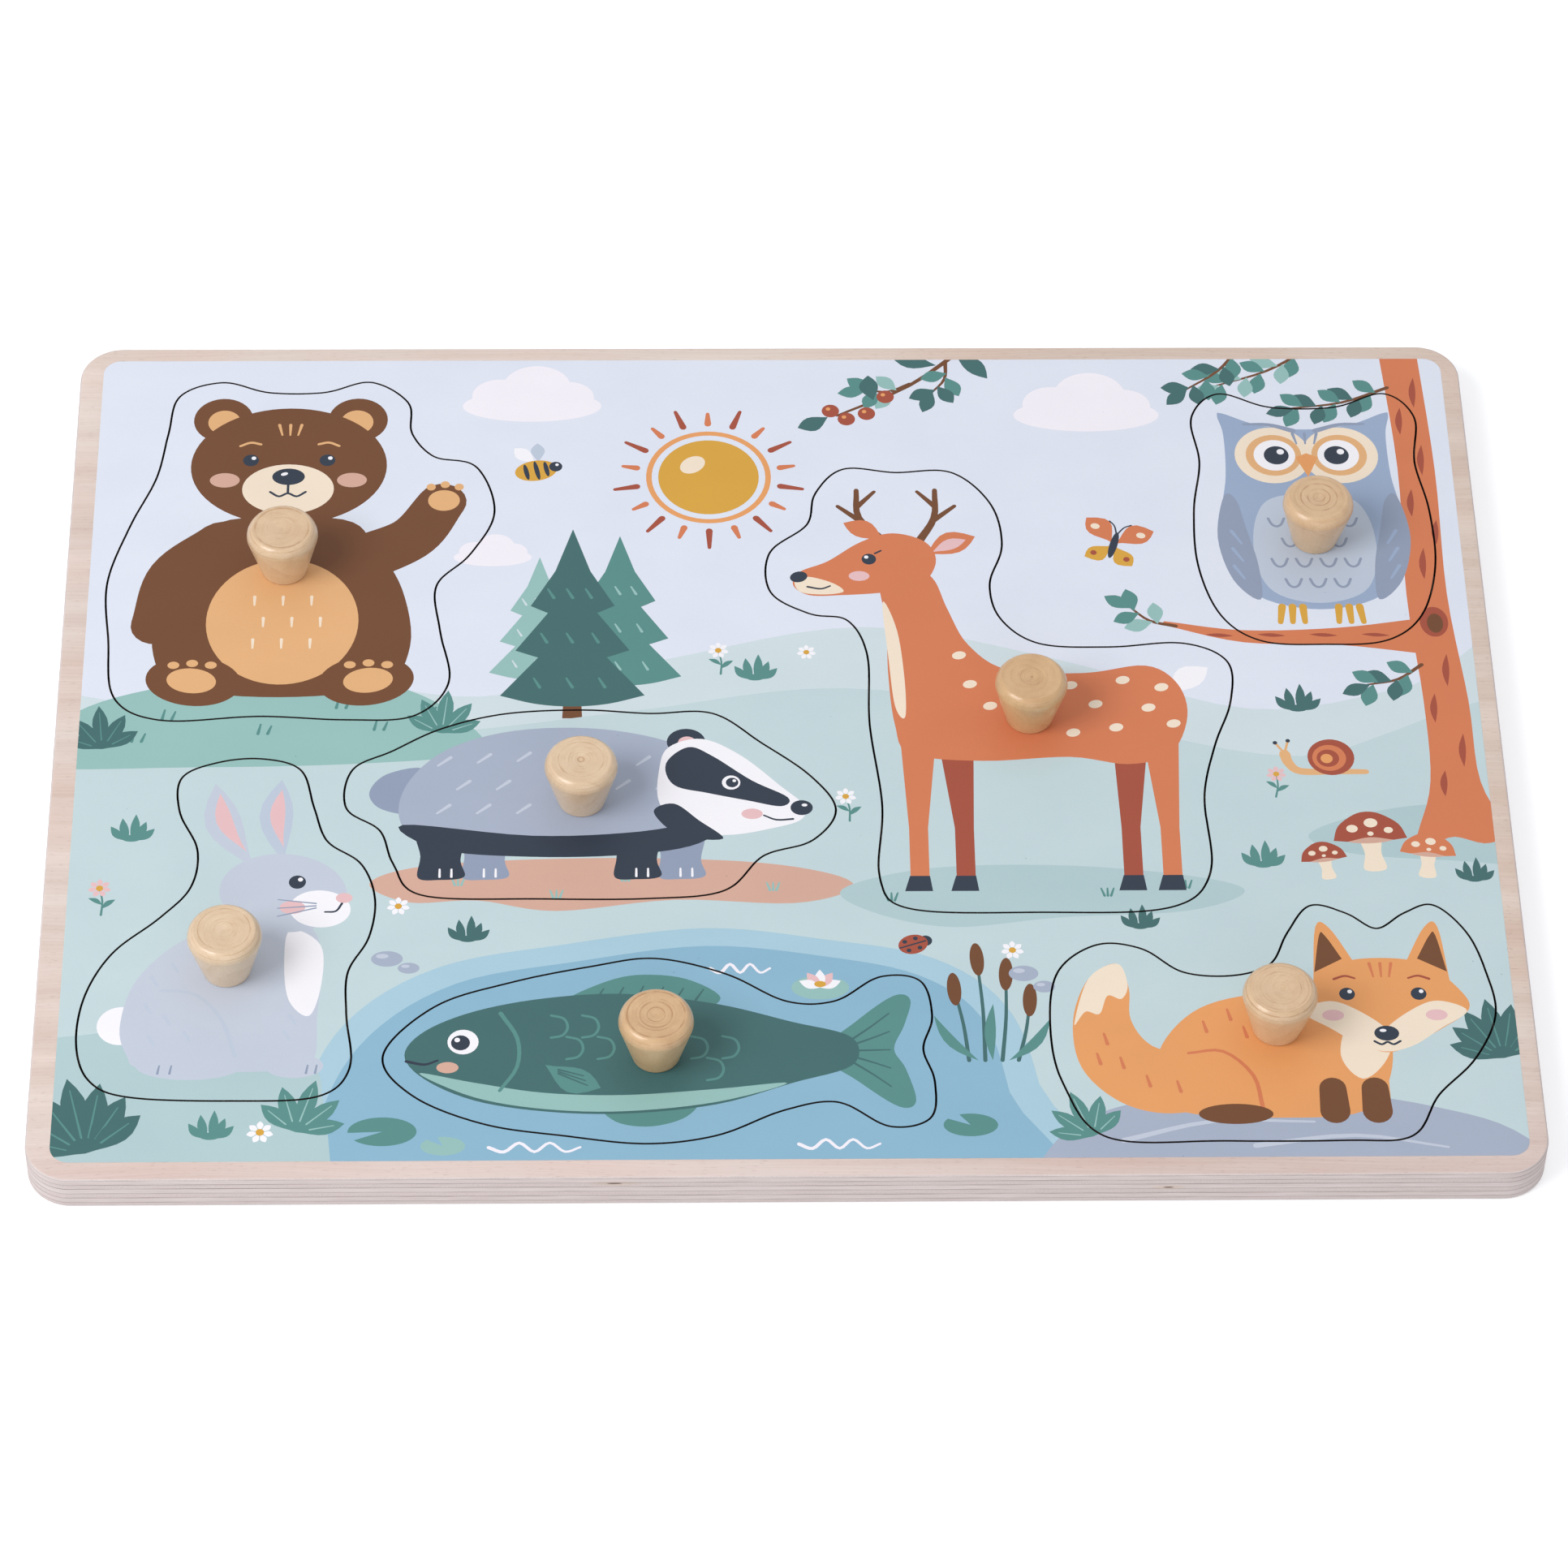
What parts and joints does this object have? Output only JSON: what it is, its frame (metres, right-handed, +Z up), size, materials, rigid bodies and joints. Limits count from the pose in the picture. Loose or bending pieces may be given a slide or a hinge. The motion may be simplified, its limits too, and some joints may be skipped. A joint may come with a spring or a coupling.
{
  "type": "wooden peg puzzle",
  "caption": "Flat plywood puzzle tray with loose animal-shaped pieces lying flush in cut recesses, each lifted by a turned wooden knob.",
  "frame": {"origin": "middle of the tray's underside, on the surface it lies on", "axes": "+X along the long side to the right of the picture, +Y to the far long side at the top of the picture, +Z up out of the printed face"},
  "size_m": [0.3, 0.225, 0.0214],
  "materials": {
    "birch_plywood": "bare birch plywood, sanded, with its plies showing on the edge",
    "printed_plywood": "satin printed picture in pale sky blue and mint on birch plywood",
    "printed_bear": "satin print on birch plywood",
    "printed_deer": "satin print on birch plywood",
    "printed_fish": "satin print on birch plywood",
    "printed_owl": "satin print on birch plywood",
    "printed_rabbit": "satin print on birch plywood",
    "printed_badger": "satin print on birch plywood",
    "printed_fox": "satin print on birch plywood",
    "knob_wood": "turned pale hardwood with a thin satin lacquer",
    "screw_steel": "zinc plated"
  },
  "bodies": {
    "tray": {"base_board": "birch_plywood", "top_board": "printed_plywood"},
    "bear": {"piece_bear": "printed_bear", "knob_bear": "knob_wood", "screw_bear": "screw_steel"},
    "deer": {"piece_deer": "printed_deer", "knob_deer": "knob_wood", "screw_deer": "screw_steel"},
    "fish": {"piece_fish": "printed_fish", "knob_fish": "knob_wood", "screw_fish": "screw_steel"},
    "owl": {"piece_owl": "printed_owl", "knob_owl": "knob_wood", "screw_owl": "screw_steel"},
    "rabbit": {"piece_rabbit": "printed_rabbit", "knob_rabbit": "knob_wood", "screw_rabbit": "screw_steel"},
    "badger": {"piece_badger": "printed_badger", "knob_badger": "knob_wood", "screw_badger": "screw_steel"},
    "fox": {"piece_fox": "printed_fox", "knob_fox": "knob_wood", "screw_fox": "screw_steel"}
  },
  "joints": [
    {"name": "lift_bear", "type": "slide", "parent": "tray", "child": "bear", "axis": [0, 0, 1], "range_m": [0, 0.03]},
    {"name": "lift_deer", "type": "slide", "parent": "tray", "child": "deer", "axis": [0, 0, 1], "range_m": [0, 0.03]},
    {"name": "lift_fish", "type": "slide", "parent": "tray", "child": "fish", "axis": [0, 0, 1], "range_m": [0, 0.03]},
    {"name": "lift_owl", "type": "slide", "parent": "tray", "child": "owl", "axis": [0, 0, 1], "range_m": [0, 0.03]},
    {"name": "lift_rabbit", "type": "slide", "parent": "tray", "child": "rabbit", "axis": [0, 0, 1], "range_m": [0, 0.03]},
    {"name": "lift_badger", "type": "slide", "parent": "tray", "child": "badger", "axis": [0, 0, 1], "range_m": [0, 0.03]},
    {"name": "lift_fox", "type": "slide", "parent": "tray", "child": "fox", "axis": [0, 0, 1], "range_m": [0, 0.03]}
  ]
}
